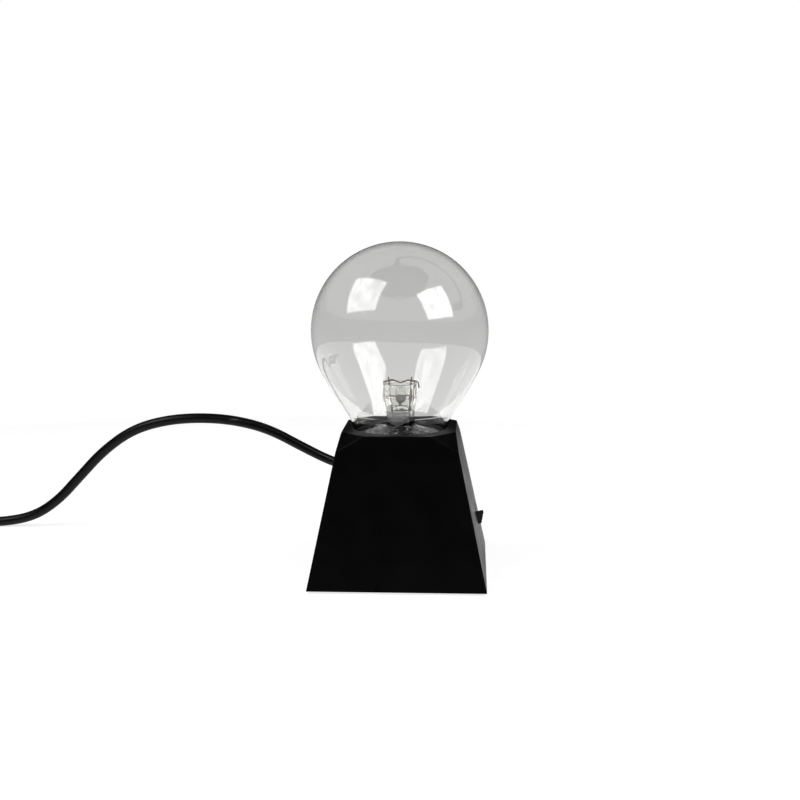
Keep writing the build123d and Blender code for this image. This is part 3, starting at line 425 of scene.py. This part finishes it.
materials = {
    "shell_plastic": moulded_plastic("satin_black_abs", BLACK, 0.38, Specular_IOR_Level=0.06),
    "cover_plastic": moulded_plastic("textured_black_abs", shade_of(BLACK, 2.0), 0.5, 0.0007, 0.00003),
    "knob_plastic": moulded_plastic("knob_black", shade_of(BLACK, 2.0), 0.42, Specular_IOR_Level=0.3),
    "seat_plastic": moulded_plastic("seat_black", shade_of(BLACK, 4.0), 0.55),
    "bobbin_plastic": moulded_plastic("bobbin_black", shade_of(BLACK, 6.0), 0.5),
    "chip_plastic": moulded_plastic("chip_epoxy", shade_of(BLACK, 8.0), 0.55),
    "tie_plastic": moulded_plastic("tie_strap", shade_of(BLACK, 5.0), 0.5, 0.0009, 0.00005),
    "plug_plastic": moulded_plastic("plug_overmould", shade_of(BLACK, 4.0), 0.42),
    "tongue_plastic": moulded_plastic("tongue_white", (0.72, 0.72, 0.70), 0.35),
    "ferrite": moulded_plastic("ferrite_grey", (0.022, 0.022, 0.025), 0.6, 0.0004, 0.00002),
    "film_dip": moulded_plastic("film_capacitor_red", (0.42, 0.03, 0.03), 0.25, 0.002, 0.00008),
    "globe_glass": clear_glass("globe_glass", (0.950, 0.953, 0.945), 0.022, 0.00012),
    # The stem glass's second colour is the painted shade at its foot.
    "stem_glass": glass_with_painted_foot_shade("stem_glass", (0.965, 0.965, 0.935), (0.10, 0.085, 0.11)),
    "rubber": soft_rubber("black_rubber", shade_of(BLACK, 5.0), 0.6),
    "silicone": soft_rubber("silicone_black", (0.008, 0.008, 0.009), 0.4),
    "electrode_wire": worked_metal("oxidised_wire", (0.13, 0.06, 0.04), 0.28),
    "electrode_metal": worked_metal("dull_nickel", (0.07, 0.07, 0.065), 0.35),
    "screw_steel": worked_metal("zinc_steel", (0.55, 0.55, 0.54), 0.35),
    "tin": worked_metal("tinned_copper", (0.62, 0.61, 0.58), 0.35),
    "sink_aluminium": worked_metal("sink_aluminium", (0.70, 0.71, 0.72), 0.4),
    "plug_steel": worked_metal("nickel_plate", (0.66, 0.65, 0.62), 0.26, (1.0, 0.05, 1.0)),
    "contact_gold": worked_metal("contact_gold", (0.83, 0.60, 0.24), 0.25),
    "cord_jacket": cable_jacket("pvc_jacket_black", shade_of(BLACK, 1.2), 0.38),
    "black_insulation": cable_jacket("pvc_black", shade_of(BLACK, 6.0), 0.3),
    "red_insulation": cable_jacket("pvc_red", (0.40, 0.02, 0.03), 0.3),
    "yellow_insulation": cable_jacket("pvc_yellow", (0.50, 0.52, 0.06), 0.3),
    "copper": wound("enamelled_copper", (0.42, 0.13, 0.05), 0.00035, 0.00012, 0.3),
    "winding_tape": wound("polyester_tape", (0.62, 0.56, 0.08), 0.0021, 0.00006, 0.25),
    "board_laminate": laminate("board_laminate", (0.30, 0.17, 0.06)),
    "resistor_body": banded("resistor_bands", RESISTOR_STOPS, 0.0062, 0.35),
    "can_sleeve": banded("capacitor_sleeve", CAN_STOPS, 0.0062, 0.3),
}

slot_of = {entry["node"]: entry["material_slot"] for entry in frame["record"]["subparts"]}
for name, node in nodes.items():
    node.data.materials.clear()
    node.data.materials.append(materials[slot_of[name]])
power_lead.data.materials.append(materials["cord_jacket"])

# ---------------------------------------------------------------- floor, lights and surroundings
FLOOR_CENTRE = (-0.10, -0.20)
FLOOR_RADIUS = 0.57
FLOOR_CORNERS = 96
FLOOR_GLOW = 0.79
FLOOR_DARK = (0.37, 0.37, 0.37)
FLOOR_GREY = (0.38, 0.38, 0.38)
FLOOR_LIGHT = (0.39, 0.39, 0.39)
WHITE = (1.0, 1.0, 1.0, 1.0)


def make_floor():
    """A round pale studio table, which glows a little so that it reads as white."""
    mesh = bpy.data.meshes.new("floor")
    rim = [
        (
            FLOOR_CENTRE[0] + FLOOR_RADIUS * cos(2 * pi * step / FLOOR_CORNERS),
            FLOOR_CENTRE[1] + FLOOR_RADIUS * sin(2 * pi * step / FLOOR_CORNERS),
            0.0,
        )
        for step in range(FLOOR_CORNERS)
    ]
    mesh.from_pydata(rim, [], [list(range(FLOOR_CORNERS))])
    floor = bpy.data.objects.new("floor", mesh)
    scene.collection.objects.link(floor)
    surface = Surface("pale_floor", FLOOR_GREY, 0.9, Emission_Strength=FLOOR_GLOW)
    surface.colours(surface.noise(0.15, 3.0), [(0.3, FLOOR_DARK), (0.7, FLOOR_LIGHT)])
    surface.shader.inputs["Emission Color"].default_value = WHITE
    mesh.materials.append(surface.material)


LEFT_SOFTBOX = {
    "centre": (-0.425, -0.259, 0.598),
    "x_axis": (0.345, -0.358, 0.134),
    "facing": (0.621, 0.331, -0.711),
    "size": (0.545, 0.55),
    "power": 4.6,
}
RIGHT_SOFTBOX = {
    "centre": (0.499, -0.290, 0.503),
    "x_axis": (0.241, 0.411, -0.028),
    "facing": (-0.720, 0.383, -0.579),
    "size": (0.505, 0.476),
    "power": 4.8,
}


CLOUD_SCALE = 3.5
CLOUD_RANGE = (0.65, 1.35)
EDGE_FADE = 0.08


def area_light(name, centre, x_axis, facing, size, power):
    """A rectangular softbox at centre, its back turned away from the direction it faces."""
    data = bpy.data.lights.new(name, "AREA")
    data.shape = "RECTANGLE"
    data.size, data.size_y = size
    data.energy = power
    light = bpy.data.objects.new(name, data)
    away = -Vector(facing).normalized()
    across = Vector(x_axis)
    across = (across - away * across.dot(away)).normalized()
    light.matrix_world = placement(Vector(centre), across, away.cross(across), away)
    scene.collection.objects.link(light)
    soften_light(data)


def soften_light(data):
    """A diffuser cloth's uneven glow: cloudy, and fading at the edges."""
    data.use_nodes = True
    tree = data.node_tree
    make = tree.nodes.new
    link = tree.links.new
    spot = make("ShaderNodeNewGeometry").outputs["Parametric"]
    clouds = make("ShaderNodeTexNoise")
    clouds.inputs["Scale"].default_value = CLOUD_SCALE
    link(spot, clouds.inputs["Vector"])
    glow = make("ShaderNodeMapRange")
    glow.inputs["From Min"].default_value = 0.3
    glow.inputs["From Max"].default_value = 0.7
    glow.inputs["To Min"].default_value = CLOUD_RANGE[0]
    glow.inputs["To Max"].default_value = CLOUD_RANGE[1]
    link(clouds.outputs["Fac"], glow.inputs["Value"])
    sides = make("ShaderNodeSeparateXYZ")
    link(spot, sides.inputs["Vector"])
    strength = glow.outputs["Result"]
    for axis in ("X", "Y"):
        for start, end in ((0.0, EDGE_FADE), (1.0, 1.0 - EDGE_FADE)):
            fade = make("ShaderNodeMapRange")
            fade.interpolation_type = "SMOOTHSTEP"
            fade.inputs["From Min"].default_value = start
            fade.inputs["From Max"].default_value = end
            link(sides.outputs[axis], fade.inputs["Value"])
            product = make("ShaderNodeMath")
            product.operation = "MULTIPLY"
            link(strength, product.inputs[0])
            link(fade.outputs["Result"], product.inputs[1])
            strength = product.outputs["Value"]
    link(strength, tree.nodes["Emission"].inputs["Strength"])


# Each as start, end, value at the start, value at the end, of the direction's Y or Z.
BACKDROP_SPAN = (-0.2, 0.6, 0.0, 1.0)
BACKDROP_GREY = (-0.12, 0.14, 0.40, 0.045)
CEILING_GREY = (0.5, 0.9, 0.025, 0.10)
THROUGH_GLASS_GREY = (-0.19, -0.09, 0.65, 0.585)


def surroundings():
    """White where the camera looks straight at it; grey through glass; dim in reflections."""
    world = bpy.data.worlds.new("studio")
    scene.world = world
    world.use_nodes = True
    tree = world.node_tree
    tree.nodes.clear()
    make = tree.nodes.new
    link = tree.links.new
    direction = make("ShaderNodeTexCoord")
    parts = make("ShaderNodeSeparateXYZ")
    link(direction.outputs["Generated"], parts.inputs["Vector"])

    def level(value, span):
        node = make("ShaderNodeMapRange")
        node.interpolation_type = "SMOOTHSTEP"
        for socket, number in zip(("From Min", "From Max", "To Min", "To Max"), span):
            node.inputs[socket].default_value = number
        link(value, node.inputs["Value"])
        return node.outputs["Result"]

    def combine(operation, first, second):
        node = make("ShaderNodeMath")
        node.operation = operation
        link(first, node.inputs[0])
        link(second, node.inputs[1])
        return node.outputs["Value"]

    # Reflected: a dim room, a grey backdrop low behind the object and a faint ceiling.
    behind = level(parts.outputs["Y"], BACKDROP_SPAN)
    low_down = level(parts.outputs["Z"], BACKDROP_GREY)
    ceiling = level(parts.outputs["Z"], CEILING_GREY)
    room = combine("MAXIMUM", combine("MULTIPLY", behind, low_down), ceiling)
    # Seen through the glass: a lighter grey, lightest towards the table.
    through = level(parts.outputs["Z"], THROUGH_GLASS_GREY)
    path = make("ShaderNodeLightPath")
    dim = make("ShaderNodeBackground")
    choose = make("ShaderNodeMix")
    choose.data_type = "FLOAT"
    link(path.outputs["Is Transmission Ray"], choose.inputs[0])
    link(room, choose.inputs[2])
    link(through, choose.inputs[3])
    link(choose.outputs[0], dim.inputs["Color"])
    bright = make("ShaderNodeBackground")
    bright.inputs["Color"].default_value = WHITE
    mix = make("ShaderNodeMixShader")
    link(path.outputs["Is Camera Ray"], mix.inputs["Fac"])
    link(dim.outputs["Background"], mix.inputs[1])
    link(bright.outputs["Background"], mix.inputs[2])
    output = make("ShaderNodeOutputWorld")
    link(mix.outputs["Shader"], output.inputs["Surface"])


make_floor()
area_light("left_softbox", **LEFT_SOFTBOX)
area_light("right_softbox", **RIGHT_SOFTBOX)
surroundings()

bpy.context.view_layer.update()
